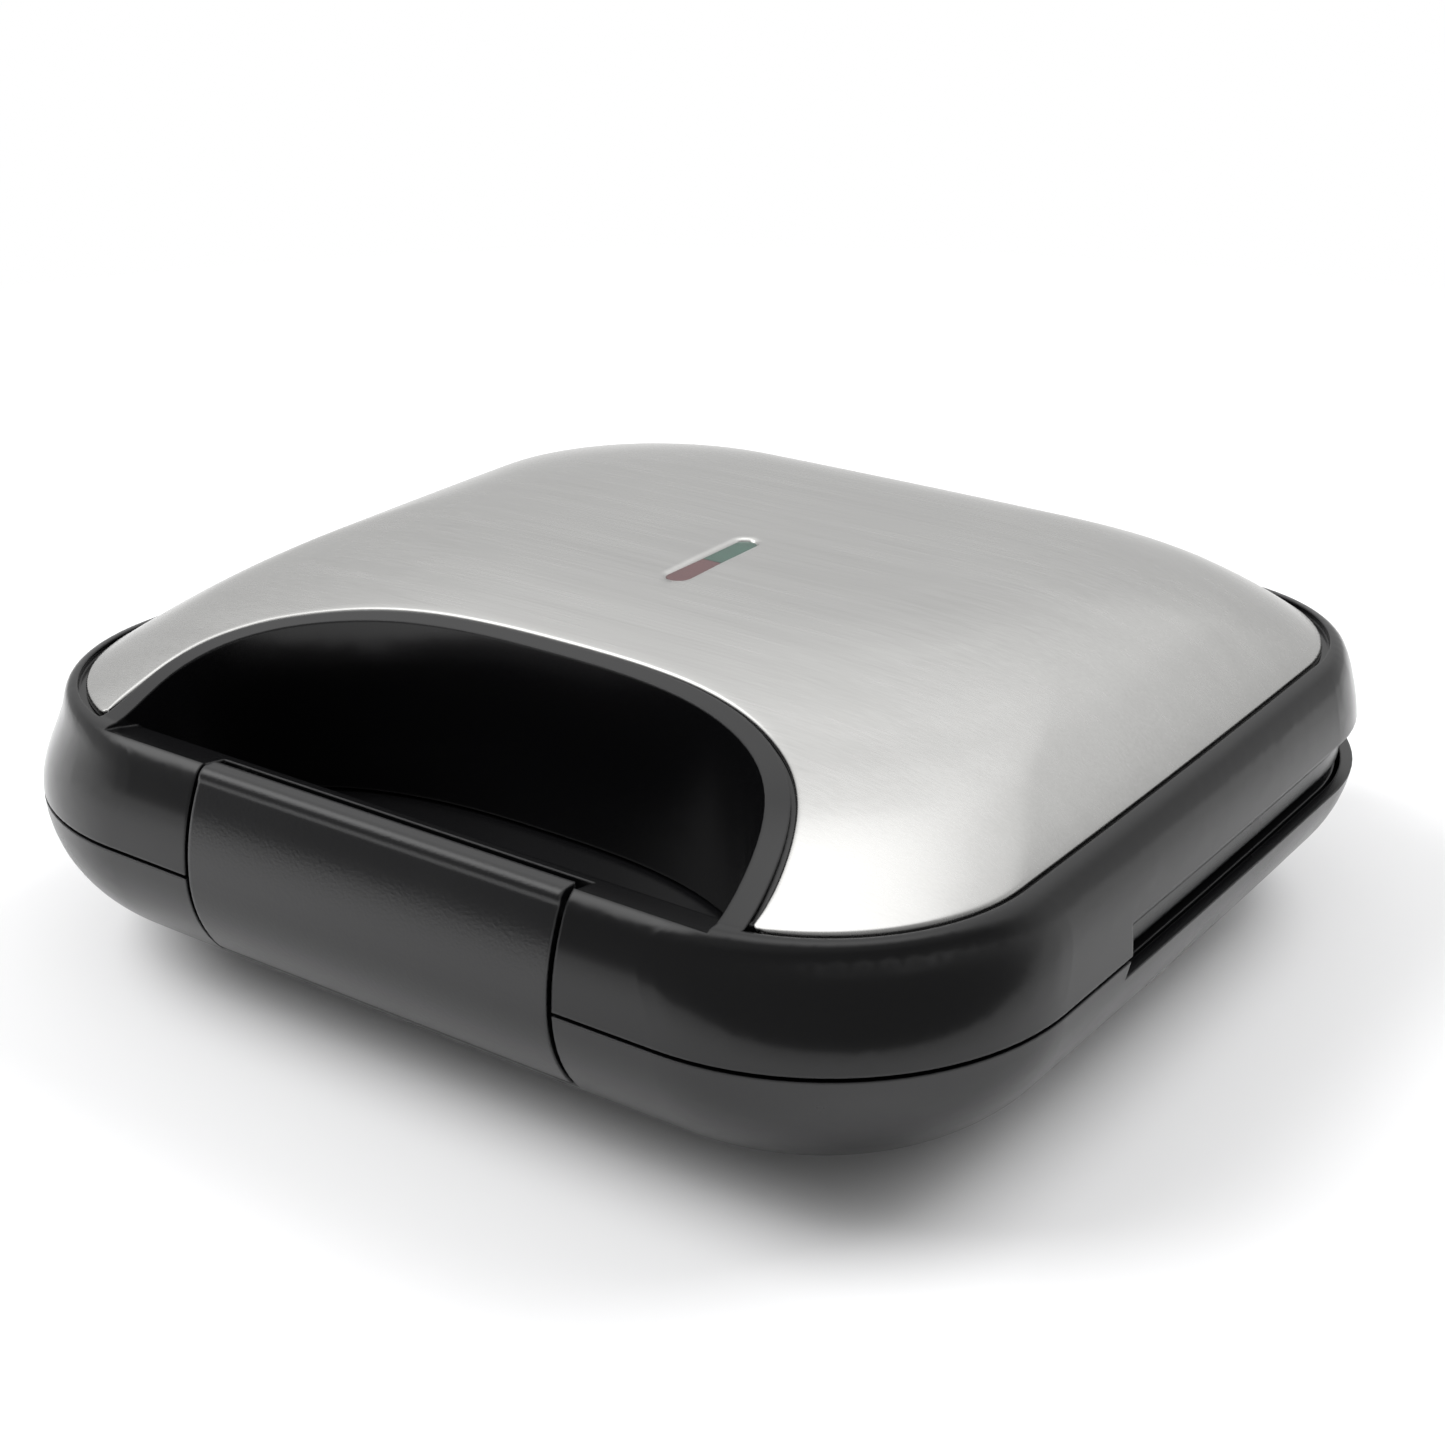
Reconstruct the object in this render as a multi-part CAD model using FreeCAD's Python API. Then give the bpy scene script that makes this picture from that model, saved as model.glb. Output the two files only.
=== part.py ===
"""Panini press: a lid with a pressed steel cover hinged on a moulded base, two ribbed plates, a front latch.

Millimetres, +Z up, +X to the right as seen from the front.  The origin is on the surface the press stands
on, under the middle of its outline.  Positions below are given as (x, y, h): y is measured back from the
front edge of the body and h up from the parting plane between base and lid.
"""
import FreeCAD, Part
import math
import os

V = FreeCAD.Vector
os.makedirs("parts", exist_ok=True)

# ---- overall body ------------------------------------------------------------------------------------
body_width = 230.0         # widest, at the parting plane
body_depth = 218.5         # front edge to rear edge, without the hinge
base_drop = 28.0           # parting plane down to the flat underside
foot_height = 6.0
crown_rise = 40.5          # parting plane up to the crown of the cover
wall = 2.5                 # moulded wall thickness
corner_front = 50.0        # plan radius of the front corners
corner_rear = 50.0
bow_front = 0.9            # how far each edge bows out over its own length
bow_side = 1.2
bow_rear = 2.0
lid_round = 39.4           # radius of the lid's bulging side, centred on the parting plane
base_round = 27.0          # radius of the base's bulging side
parting_gap = 0.9          # base edge lies this far under the lid edge

# ---- seam between lid moulding and steel cover -------------------------------------------------------
band_shoulder = 18.0       # the lid's bulging side ends here and rolls over to the seam
corner_ease = 5.0          # the front corners lean in this much rounder at mid height
rear_square = 5.0          # the seam's rear corners are this much tighter than the parting line's
seam_height = 20.8
seam_inset = 8.6           # lip of the moulding
seam_gap = 1.0             # open groove between lip and cover
groove_depth = 1.4
cover_sheet = 0.8          # vertical thickness of the pressed cover
cover_air = 0.4            # air between cover and moulding
cover_lift = 0.2           # cover edge stands this far off the groove floor

# Form of the cover: share of its rise, insets from front, side and rear as shares of the body's depth,
# width and depth, then its front and rear corner radii.
dome_steps = [(0.17, 0.0732, 0.0565, 0.0577, 42.0, 37.0), (0.47, 0.1236, 0.0891, 0.0906, 45.0, 38.0),
              (0.62, 0.1693, 0.1087, 0.1117, 48.0, 40.0), (0.72, 0.2151, 0.1270, 0.1309, 50.0, 42.0),
              (0.84, 0.2746, 0.1574, 0.1620, 50.0, 43.0), (0.93, 0.3432, 0.1957, 0.2014, 46.0, 42.0),
              (0.98, 0.4119, 0.2435, 0.2471, 36.0, 34.0), (1.0, 0.4943, 0.3043, 0.3066, 18.0, 18.0)]

# ---- hand recess behind the handle bar ---------------------------------------------------------------
notch_half = 76.5          # half width of the opening in the cover
notch_depth = 61.0         # its depth from the front edge
notch_power = 2.66         # roundness of its corners
rim_gap = 0.8              # cover edge to rim
rim_land = 3.2             # flat top of the rim
recess_draft = 3.0         # how much the recess narrows down to the parting plane
bar_depth = 15.5           # front edge to the rear face of the handle bar
bar_ridge = 20.1           # height of the bar's front ridge
bar_fall = 1.3             # its top falls this much to the rear
bar_edge = 1.4             # rounding of its rear top edge

# ---- latch -------------------------------------------------------------------------------------------
latch_width = 85.2
latch_gap = 1.2            # open seam beside the latch
latch_skin = 2.2
latch_drop = 17.2          # parting plane down to the latch lip
latch_rise = 20.6          # up to its top flange
latch_flange = 8.8         # how far back the top flange reaches
latch_lip = 7.0            # how far back the lower lip reaches
latch_pivot_y = 8.0
latch_pivot_h = 15.2
latch_pin_r = 1.5
latch_ear = 3.0            # ear thickness
latch_ear_r = 3.4
pocket_depth = 12.3        # slot behind the flange ends here
core_front = 4.9           # the bar's core stands behind the latch skin
core_height = 8.0
base_pocket = 7.8          # the base is set back to here behind the latch
latch_pin_grip = 6.5       # length of pin held in the bar

# ---- side vent between lid and base ------------------------------------------------------------------
vent_start = 74.5          # measured back from the front edge
vent_lid_edge = 6.5        # the lid's edge is raised to here
vent_chamfer = 1.7
vent_base_edge = 4.0       # the base's edge is lowered to here
vent_slant = 2.6           # slope of the base's step
band_inset = 3.4           # inner band seen in the vent
band_thick = 2.0
band_low = -1.2
band_high = 6.6

# ---- grill plates ------------------------------------------------------------------------------------
plate_front = 63.0
plate_margin = 10.0        # from the body's sides and rear edge
plate_corner = 34.0
flange_thick = 3.0
rim_width = 13.0           # flat rim round the cooking surface
rim_seat = 10.4            # width of the flange that lies on the bezel
cook_depth = 5.0
rib_rise = 2.0
rib_width = 3.0
rib_pitch = 12.0
plate_thick = 2.8
lower_face = -1.4          # rim faces
upper_face = -0.4
bezel_thick = 2.5
bezel_gap = 0.4            # bezel to moulded wall
deck_end = 61.4            # the raised front deck of the base ends here

# ---- heating -----------------------------------------------------------------------------------------
element_r = 3.3
element_inset = 24.0       # element loop inside the plate's edge
element_bend = 18.0
element_end = 12.0         # cold ends stop this far from the middle
contact_air = 0.05
sheet = 0.8                # reflector sheet
tray_inset = 11.0          # reflector inside the plate's edge
tray_lip = 5.0
tray_corner = 14.0
stud_r = 3.0
stud_inset_x = 42.0
stud_inset_y = 16.5
screw_r = 1.5
screw_head_r = 2.8
screw_head = 1.8
screw_inset = 5.8          # plate screws inside the plate's sides
screw_past_corner = 2.0    # and beyond its corner arcs
screw_slip = 0.1
post_r = 4.2

# ---- indicator ---------------------------------------------------------------------------------------
lamp_front = 94.5
lamp_length = 28.7
lamp_width = 5.6
lens_thick = 2.4
lens_slip = 0.15
lens_seat = 0.7            # ledge that the lens rests on
lens_sunk = 0.7            # lens face under the cover's face

# ---- hinge -------------------------------------------------------------------------------------------
hinge_behind = 4.6         # axis behind the body's rear edge
hinge_h = 1.25
hinge_x = 62.0
barrel_r = 4.7
hinge_pin_r = 1.5
pin_slip = 0.05            # running clearance in the lid's knuckle
pin_seat = 0.02
knuckle_width = 12.0
ear_width = 5.0
ear_gap = 0.4

# ---- feet, gland, terminals --------------------------------------------------------------------------
foot_r = 9.0
foot_x = 66.0
foot_front = 50.0
foot_rear = 48.0           # from the rear edge
foot_stud_r = 4.0
foot_stud = 1.6
gland_x = -30.0
gland_h = -15.0
gland_bore_r = 3.6
gland_body_r = 5.0
gland_flange_r = 7.0
gland_flange = 2.5
gland_pad_r = 7.6
gland_pad = 7.5            # the pad reaches this far in from the rear edge
gland_length = 9.0
clamp_behind = 13.5        # cord clamp in front of the rear edge
clamp_half = 12.5
clamp_screw = 9.0          # screws from the cord's middle
clamp_thick = 3.0
clamp_depth = 7.0
sensor_r = 8.5             # thermostat can
sensor_cap = 2.2
sensor_clear = 0.3         # ends of its tabs above the floor of the base
fuse_x = -38.0
fuse_r = 2.2
fuse_length = 16.0
block_x = 34.0             # terminal block
block_behind = 42.0
block_low = -base_drop + wall + 0.6
block_high = 5.5
block_half = 13.0          # half of its length across
block_depth = 11.0
block_screw = 10.6         # screws from the block's middle
block_pitch = 4.6          # between wire seats
wire_seat_r = 1.4
lead_r = 1.1

rear = body_depth
half = body_width / 2
hinge_y = rear + hinge_behind
total_depth = hinge_y + barrel_r
front_y = -total_depth / 2
parting_z = base_drop + foot_height
bar_rear_h = bar_ridge - bar_fall


# ---- helpers -----------------------------------------------------------------------------------------
def at(x, y, h):
    """Point from the front edge and the parting plane."""
    return V(x, front_y + y, parting_z + h)


def box(x0, x1, y0, y1, h0, h1):
    return Part.makeBox(x1 - x0, y1 - y0, h1 - h0, at(x0, y0, h0))


def rod(start, end, radius):
    """Round bar between two points."""
    run = end - start
    return Part.makeCylinder(radius, run.Length, start, run)


def post(x, y, h0, h1, radius):
    return rod(at(x, y, min(h0, h1)), at(x, y, max(h0, h1)), radius)


def solid_of(wire, h0, h1):
    """Straight prism on a closed wire drawn at h0, up or down to h1."""
    return Part.Face(wire).extrude(V(0, 0, h1 - h0))


def yz_prism(points, x0, x1):
    """Prism along X on a polygon of (y, h) points."""
    corners = [at(x0, y, h) for y, h in points]
    return Part.Face(Part.makePolygon(corners + corners[:1])).extrude(V(x1 - x0, 0, 0))


def joined(shapes):
    first, rest = shapes[0], shapes[1:]
    return first.fuse(rest).removeSplitter() if rest else first


def mirrored(shape):
    return shape.mirror(V(0, 0, 0), V(1, 0, 0))


def save(name, shape):
    shape.exportStep("parts/" + name + ".step")
    print(name, len(shape.Solids), round(shape.Volume), shape.isValid())


def bow_radius(half_span, bow):
    return (half_span ** 2 + bow ** 2) / (2 * bow)


def meet(c0, r0, c1, r1):
    """Right-hand meeting point of two circles, seen from c0 towards c1, and the left-hand one."""
    d = c1 - c0
    along = (r0 ** 2 - r1 ** 2 + d.Length ** 2) / (2 * d.Length)
    across = math.sqrt(max(r0 ** 2 - along ** 2, 0.0))
    unit = V(d.x / d.Length, d.y / d.Length, 0)
    foot = c0 + unit * along
    side = V(-unit.y, unit.x, 0) * across
    return foot - side, foot + side


def outline(h, front, side, back, r_front, r_rear):
    """Rounded outline at height h: four bowed edges joined by tangent corner arcs."""
    x1, y0, y1 = half - side, front, rear - back
    r_front = min(r_front, 0.45 * (y1 - y0))
    r_rear = min(r_rear, 0.45 * (y1 - y0))
    rho_front, rho_rear = bow_radius(x1, bow_front), bow_radius(x1, bow_rear)
    rho_side = bow_radius((y1 - y0) / 2, bow_side)
    c_front, c_rear = V(0, y0 + rho_front, 0), V(0, y1 - rho_rear, 0)
    c_side = V(x1 - rho_side, (y0 + y1) / 2, 0)
    k_front = max(meet(c_front, rho_front - r_front, c_side, rho_side - r_front), key=lambda p: p.x - p.y)
    k_rear = max(meet(c_rear, rho_rear - r_rear, c_side, rho_side - r_rear), key=lambda p: p.x + p.y)

    def touch(centre, rho, corner):
        return centre + (corner - centre).normalize() * rho

    a = touch(c_front, rho_front, k_front)
    b = touch(c_side, rho_side, k_front)
    c = touch(c_side, rho_side, k_rear)
    d = touch(c_rear, rho_rear, k_rear)

    def corner_mid(k, r, p, q):
        return k + ((p + q) * 0.5 - k).normalize() * r

    right = [(a, corner_mid(k_front, r_front, a, b), b), (b, V(x1, (y0 + y1) / 2, 0), c),
             (c, corner_mid(k_rear, r_rear, c, d), d)]
    flip = [tuple(V(-p.x, p.y, 0) for p in reversed(arc)) for arc in reversed(right)]
    left_d, left_a = flip[0][0], flip[-1][2]
    arcs = right + [(d, V(0, y1, 0), left_d)] + flip + [(left_a, V(0, y0, 0), a)]
    edges = [Part.Arc(*[at(p.x, p.y, h) for p in arc]).toShape() for arc in arcs]
    return Part.Wire(edges)


def even(h, inset):
    """Outline with the same inset all round."""
    return outline(h, inset, inset, inset, corner_front - inset, corner_rear - inset)


def seam_line(h, inset):
    """Outline that follows the cover's seam, tighter at the rear corners."""
    return outline(h, inset, inset, inset, corner_front - inset, corner_rear - inset - rear_square)


def band_line(h, inset, thinned):
    """Outline of the lid's band between the parting plane and the seam."""
    t = h / seam_height
    total = inset + thinned
    lean = corner_ease * 6.75 * t * t * (1 - t)
    r_front, r_rear = corner_front - total + lean, corner_rear - total - rear_square * t * t
    return outline(h, total, total, total, r_front, r_rear)


def loft(wires):
    return Part.makeLoft(wires, True, False)


def on_round(radius, h):
    """Inset of a side that bulges on an arc centred on the parting plane."""
    return radius - math.sqrt(radius ** 2 - h ** 2)


def notch(h, inset, forward=-6.0):
    """Outline of the hand recess: a superellipse closed by a straight line in front of the body."""
    a, b, power = notch_half - inset, notch_depth - inset, 2 / notch_power
    points = []
    for i in range(25):
        t = math.pi * i / 24
        c, s = math.cos(t), math.sin(t)
        points.append(at(math.copysign(a * abs(c) ** power, c), b * abs(s) ** power, h))
    curve = Part.BSplineCurve()
    curve.interpolate(Points=points, InitialTangent=V(0, 1, 0), FinalTangent=V(0, -1, 0))
    ends = [at(-a, forward, h), at(a, forward, h)]
    lines = [Part.makeLine(points[-1], ends[0]), Part.makeLine(*ends), Part.makeLine(ends[1], points[0])]
    return Part.Wire([curve.toShape()] + lines)


def notch_solid(h0, h1, inset0, inset1):
    if inset0 == inset1:
        return solid_of(notch(h0, inset0), h0, h1)
    return Part.makeLoft([notch(h0, inset0), notch(h1, inset1)], True, True)


def stadium(h, x, y0, y1, width):
    """Slot outline with round ends, long along Y."""
    r = width / 2
    p = [at(x - r, y1 - r, h), at(x - r, y0 + r, h), at(x, y0, h), at(x + r, y0 + r, h),
         at(x + r, y1 - r, h), at(x, y1, h)]
    return Part.Wire([Part.makeLine(p[0], p[1]), Part.Arc(p[1], p[2], p[3]).toShape(),
                      Part.makeLine(p[3], p[4]), Part.Arc(p[4], p[5], p[0]).toShape()])


def round_rect(h, x1, y0, y1, r):
    """Rectangle across the middle with rounded corners."""
    k = r * (1 - math.sqrt(0.5))
    corners = [(x1, y0, -1, 1), (x1, y1, -1, -1), (-x1, y1, 1, -1), (-x1, y0, 1, 1)]
    edges, last, first = [], None, None
    for i, (x, y, sx, sy) in enumerate(corners):
        near_y = at(x + sx * r, y, h)
        near_x = at(x, y + sy * r, h)
        start, end = (near_y, near_x) if i % 2 == 0 else (near_x, near_y)
        if last is not None:
            edges.append(Part.makeLine(last, start))
        else:
            first = start
        edges.append(Part.Arc(start, at(x + sx * k, y + sy * k, h), end).toShape())
        last = end
    edges.append(Part.makeLine(last, first))
    return Part.Wire(edges)


def wire_run(points, radius):
    """Insulated lead: straight runs with round elbows."""
    pieces = [rod(p, q, radius) for p, q in zip(points, points[1:])]
    pieces += [Part.makeSphere(radius, p) for p in points[1:-1]]
    return joined(pieces)


def screw(x, y, head_h, tip_h):
    """Pan-head screw; the head lies on the side away from the tip."""
    way = 1 if tip_h > head_h else -1
    head = post(x, y, head_h, head_h + way * screw_head, screw_head_r)
    return joined([head, post(x, y, head_h + way * screw_head, tip_h, screw_r)])


# ---- outer forms -------------------------------------------------------------------------------------
lid_heights = [0.0, 6.0, 11.0, 15.0, band_shoulder]
base_heights = [parting_gap, 5.0, 9.0, 13.5, 17.5, 20.5, 23.0]
base_turn = 25.0           # inset where the underside levels out
base_flat = 38.0           # inset of the flat underside


def lid_band(extra=0.0):
    """Bulging side of the lid with its rolled shoulder; extra thins it all round."""
    wires = [band_line(h, on_round(lid_round, h), extra) for h in lid_heights]
    return loft(wires + [band_line(20.2, 6.3, extra), seam_line(seam_height, seam_inset + extra)])


def dome():
    """Form of the steel cover above the seam."""
    start = seam_inset + seam_gap
    rise = crown_rise - seam_height
    wires = [seam_line(seam_height, start)]
    for share, front, side, back, r_front, r_rear in dome_steps:
        wires.append(outline(seam_height + share * rise, front * body_depth, side * body_width,
                             back * body_depth, r_front, r_rear))
    return loft(wires)


def base_form():
    wires = [even(-h, on_round(base_round, h)) for h in base_heights]
    return loft(wires + [even(-base_drop + 1.7, base_turn), even(-base_drop, base_flat)])


def base_hollow():
    inner = base_round - wall
    wires = [even(1.0, wall)] + [even(-h, wall + on_round(inner, h)) for h in base_heights[1:-2]]
    wires += [even(-base_drop + wall + 1.7, base_turn), even(-base_drop + wall, base_flat)]
    return loft(wires)


def moved_down(shape, by):
    copy = shape.copy()
    copy.translate(V(0, 0, -by))
    return copy


cover_form = dome()
ridge = [(-8.0, -3.0), (-8.0, 26.0), (5.6, 21.4), (7.6, bar_ridge),
         (bar_depth, bar_rear_h), (bar_depth, -3.0)]
bar_block = yz_prism(ridge, -half, half)
bar_line = at(0, bar_depth, bar_rear_h)
bar_top_edge = [e for e in bar_block.Edges if (e.CenterOfMass - bar_line).Length < 0.01]
bar_block = bar_block.makeFillet(bar_edge, bar_top_edge)
recess = notch_solid(-2.0, crown_rise + 4, rim_gap + rim_land + recess_draft, rim_gap + rim_land)
recess = recess.cut(bar_block)
keep_low, keep_high = -3.0, crown_rise + 5


def keep_inset(h):
    """Outer face of the recess wall, as an inset of the notch outline."""
    share = (keep_high - h) / (keep_high - keep_low)
    return rim_gap + rim_land - wall + recess_draft * share


recess_keep = notch_solid(keep_low, keep_high, keep_inset(keep_low), keep_inset(keep_high))

plate_x = half - plate_margin
plate_rear = rear - plate_margin
plate_mid = (plate_front + plate_rear) / 2
screw_spots = [(x, y) for x in (-plate_x + screw_inset, plate_x - screw_inset)
               for y in (plate_front + plate_corner + screw_past_corner,
                         plate_rear - plate_corner - screw_past_corner)]
stud_spots = [(x, y) for x in (-plate_x + stud_inset_x, plate_x - stud_inset_x)
              for y in (plate_front + stud_inset_y, plate_rear - stud_inset_y)]


# ---- plate sets: the same pieces face up in the base and face down in the lid ------------------------
def plate_level(way, depth):
    """Height of a layer that lies this deep behind the rim face."""
    return (upper_face if way > 0 else lower_face) + way * depth


def plate_slab(way, inset, d0, d1, corner=plate_corner):
    low, high = sorted((plate_level(way, d0), plate_level(way, d1)))
    r = max(corner - inset, 4.0)
    return solid_of(round_rect(low, plate_x - inset, plate_front + inset, plate_rear - inset, r), low, high)


plate_back = cook_depth + plate_thick
element_level = plate_back + contact_air + element_r
tray_level = element_level + element_r + contact_air


def grill_plate(way):
    """Cast plate: flat rim, sunk ribbed cooking surface, studs for the reflector on its back."""
    plate = joined([plate_slab(way, 0, 0, flange_thick), plate_slab(way, rim_seat, 0, plate_back)])
    plate = plate.cut(plate_slab(way, rim_width, -1, cook_depth))
    ribs = []
    low, high = sorted((plate_level(way, cook_depth + 0.5), plate_level(way, cook_depth - rib_rise)))
    count = int((plate_x - rim_width - rib_pitch / 2) // rib_pitch)
    for i in range(-count, count + 1):
        x = i * rib_pitch
        ribs.append(box(x - rib_width / 2, x + rib_width / 2, plate_front + rim_width + 4,
                        plate_rear - rim_width - 4 - (abs(i) == count) * 6, low, high))
    studs = [post(x, y, plate_level(way, plate_back - 0.5), plate_level(way, tray_level), stud_r)
             for x, y in stud_spots]
    plate = joined([plate] + ribs + studs)
    for x, y in screw_spots:
        plate = plate.cut(post(x, y, plate_level(way, -1), plate_level(way, flange_thick + 6),
                               screw_r + screw_slip))
        plate = plate.cut(post(x, y, plate_level(way, -1), plate_level(way, screw_head + 0.1),
                               screw_head_r + screw_slip))
    for x, y in stud_spots:
        plate = plate.cut(post(x, y, plate_level(way, tray_level - 5), plate_level(way, tray_level + 1),
                               screw_r))
    return plate


def plate_screws(way):
    """Four screws through plate and bezel into the housing posts."""
    tip = plate_level(way, flange_thick + bezel_thick + 5.5)
    return Part.Compound([screw(x, y, plate_level(way, 0.1), tip) for x, y in screw_spots])


def reflector(way):
    """Pressed sheet tray that holds the element against the plate's back."""
    floor = plate_slab(way, tray_inset, tray_level - tray_lip, tray_level + sheet, tray_corner + tray_inset)
    tray = floor.cut(plate_slab(way, tray_inset + sheet, 0, tray_level, tray_corner + tray_inset))
    low, high = sorted((plate_level(way, tray_level - tray_lip - 1), plate_level(way, tray_level + 2)))
    gap = element_end + 8
    tray = tray.cut(box(-gap, gap, plate_rear - tray_inset - 8, plate_rear, low, high))
    tray = tray.cut(post(0, plate_mid, low, high, sensor_r + 2.5))
    for x, y in stud_spots:
        tray = tray.cut(post(x, y, low, high, screw_r + screw_slip))
    return tray


def reflector_screws(way):
    head = plate_level(way, tray_level + sheet + screw_head)
    return Part.Compound([screw(x, y, head, plate_level(way, tray_level - 4)) for x, y in stud_spots])


def heating_element(way):
    """Tube element bent into a loop that is open at the rear."""
    h = plate_level(way, element_level)
    x1, r = plate_x - element_inset, element_bend
    y0, y1 = plate_front + element_inset, plate_rear - element_inset
    k = r * (1 - math.sqrt(0.5))
    p = [at(element_end, y1, h), at(x1 - r, y1, h), at(x1 - k, y1 - k, h), at(x1, y1 - r, h),
         at(x1, y0 + r, h), at(x1 - k, y0 + k, h), at(x1 - r, y0, h)]
    q = [V(-v.x, v.y, v.z) for v in p]
    edges = [Part.makeLine(p[0], p[1]), Part.Arc(p[1], p[2], p[3]).toShape(), Part.makeLine(p[3], p[4]),
             Part.Arc(p[4], p[5], p[6]).toShape(), Part.makeLine(p[6], q[6]),
             Part.Arc(q[6], q[5], q[4]).toShape(), Part.makeLine(q[4], q[3]),
             Part.Arc(q[3], q[2], q[1]).toShape(), Part.makeLine(q[1], q[0])]
    section = Part.Wire(Part.makeCircle(element_r, p[0], V(1, 0, 0)))
    tube = Part.Wire(edges).makePipeShell([section], True, False)
    pin = rod(at(element_end - 5, y1, h), at(element_end + 2, y1, h), 1.4)
    return joined([tube, pin, mirrored(pin)])


# ---- upper housing -----------------------------------------------------------------------------------
lid_post_top = 27.0
lamp_rear = lamp_front + lamp_length
lens_top = crown_rise - lens_sunk
lens_low = lens_top - lens_thick
holder_level = 20.0        # underside of the two posts that carry the lamp holder
holder_post_r = 3.0
holder_tab = 1.8
cover_drop = cover_sheet + cover_air
lid_roof = cover_drop + wall


def groove():
    """Ring-shaped groove that takes the cover's turned-down edge."""
    low = seam_height - groove_depth
    top, back = seam_height + 0.5, seam_inset + seam_gap + cover_sheet + 0.6
    ring = solid_of(seam_line(low, seam_inset), low, top).cut(solid_of(seam_line(low, back), low, top))
    return ring.cut(notch_solid(low - 1, seam_height + 2, rim_gap, rim_gap))


def vent_cut():
    """Room for the vent: everything under the lid's raised edge, with a chamfer above it."""
    block = box(-half - 5, half + 5, vent_start, rear + 5, -3, vent_lid_edge)
    low = vent_lid_edge - vent_chamfer
    keep = loft([even(low, on_round(lid_round, low) + 2.2),
                 even(vent_lid_edge, on_round(lid_round, vent_lid_edge))])
    return block.cut(keep)


def knuckle(x):
    """Lid half of one hinge: an arm from the rear wall down to a barrel."""
    x0, x1 = x - knuckle_width / 2, x + knuckle_width / 2
    low = rear - on_round(lid_round, 8.0) - 1.2
    high = rear - on_round(lid_round, 15.0) - 1.2
    arm = yz_prism([(low, 8.0), (hinge_y - barrel_r * 0.9, hinge_h), (hinge_y + barrel_r * 0.6, hinge_h),
                    (hinge_y + barrel_r * 0.8, hinge_h + barrel_r * 0.6), (high, 15.5)], x0, x1)
    return joined([arm, rod(at(x0, hinge_y, hinge_h), at(x1, hinge_y, hinge_h), barrel_r)])


def latch_pocket():
    """Pocket in the bar: shallow in front of its core, deep where the latch turns."""
    x1 = latch_width / 2 + latch_gap
    return joined([box(-x1, x1, -4, core_front, -2, 24), box(-x1, x1, -4, pocket_depth, core_height, 24)])


def upper_housing():
    outer = joined([lid_band(), moved_down(cover_form, cover_drop),
                    cover_form.common(notch_solid(seam_height - 3, crown_rise + 2, rim_gap, rim_gap))])
    hollow_top = seam_height - lid_roof
    band = lid_band(wall).common(box(-half, half, -5, rear + 5, -2, hollow_top + 0.1))
    under = joined([band, solid_of(even(-2, wall), -2, 0.05), moved_down(cover_form, lid_roof)])
    body = outer.cut(groove()).cut(recess).cut(under.cut(recess_keep))
    body = body.cut(vent_cut())
    posts = [post(x, y, plate_level(1, flange_thick + bezel_thick), lid_post_top, post_r)
             for x, y in screw_spots]
    posts += [post(x, y, holder_level, crown_rise, holder_post_r) for x, y in holder_spots]
    inside = moved_down(cover_form, cover_drop + 0.5)
    inside = joined([inside, solid_of(even(0, 8.0), 0, seam_height - 0.5)])
    posts = [p.common(inside) for p in posts]
    body = joined([body] + posts + [knuckle(hinge_x), knuckle(-hinge_x)])
    for x, y in screw_spots:
        body = body.cut(post(x, y, 0, plate_level(1, flange_thick + bezel_thick + 7), screw_r))
    for x, y in holder_spots:
        body = body.cut(post(x, y, holder_level - 1, holder_level + 7, screw_r))
    body = body.cut(rod(at(-half, hinge_y, hinge_h), at(half, hinge_y, hinge_h), hinge_pin_r + pin_slip))
    body = body.cut(latch_pocket())
    reach = latch_width / 2 + latch_gap + latch_pin_grip
    body = body.cut(rod(at(-reach, latch_pivot_y, latch_pivot_h), at(reach, latch_pivot_y, latch_pivot_h),
                        latch_pin_r + pin_seat))
    slot = stadium(lens_low, 0, lamp_front, lamp_rear, lamp_width)
    light = stadium(lens_low - 8, 0, lamp_front + lens_seat, lamp_rear - lens_seat,
                    lamp_width - 2 * lens_seat)
    body = body.cut(solid_of(slot, lens_low, crown_rise + 1))
    return body.cut(solid_of(light, lens_low - 8, crown_rise + 1))


def steel_cover():
    """Pressed steel skin with a turned-down edge, the hand notch and the lamp slot."""
    skin = cover_form.cut(moved_down(cover_form, cover_sheet))
    start = seam_inset + seam_gap
    low = seam_height - groove_depth + cover_lift
    edge = solid_of(seam_line(low, start), low, seam_height + 0.02)
    edge = edge.cut(solid_of(seam_line(low, start + cover_sheet), low, seam_height + 0.02))
    skin = joined([skin, edge]).cut(notch_solid(low - 1, crown_rise + 2, 0, 0))
    slot = stadium(crown_rise - 4, 0, lamp_front, lamp_rear, lamp_width)
    return skin.cut(solid_of(slot, crown_rise - 4, crown_rise + 1))


def upper_bezel():
    """Inner frame round the upper plate, with the band that is seen in the side vents."""
    h0, h1 = plate_level(1, flange_thick), plate_level(1, flange_thick + bezel_thick)
    inset = on_round(lid_round, h1) + wall + bezel_gap
    frame = solid_of(band_line(h1, inset, 0), h1, h0)
    clear = keep_inset(h1) - bezel_gap
    frame = frame.cut(notch_solid(h0 - 1, h1 + 1, clear, clear))
    band = solid_of(even(band_low, band_inset), band_low, band_high)
    band = band.cut(solid_of(even(band_low, band_inset + band_thick), band_low, band_high))
    band = band.common(box(-half, half, vent_start + 0.5, rear + 5, band_low, band_high))
    frame = joined([frame, band]).cut(plate_slab(1, rim_seat - 0.3, -2, 12))
    for x, y in screw_spots:
        frame = frame.cut(post(x, y, h0 - 1, h1 + 1, screw_r + screw_slip))
    return frame


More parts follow.
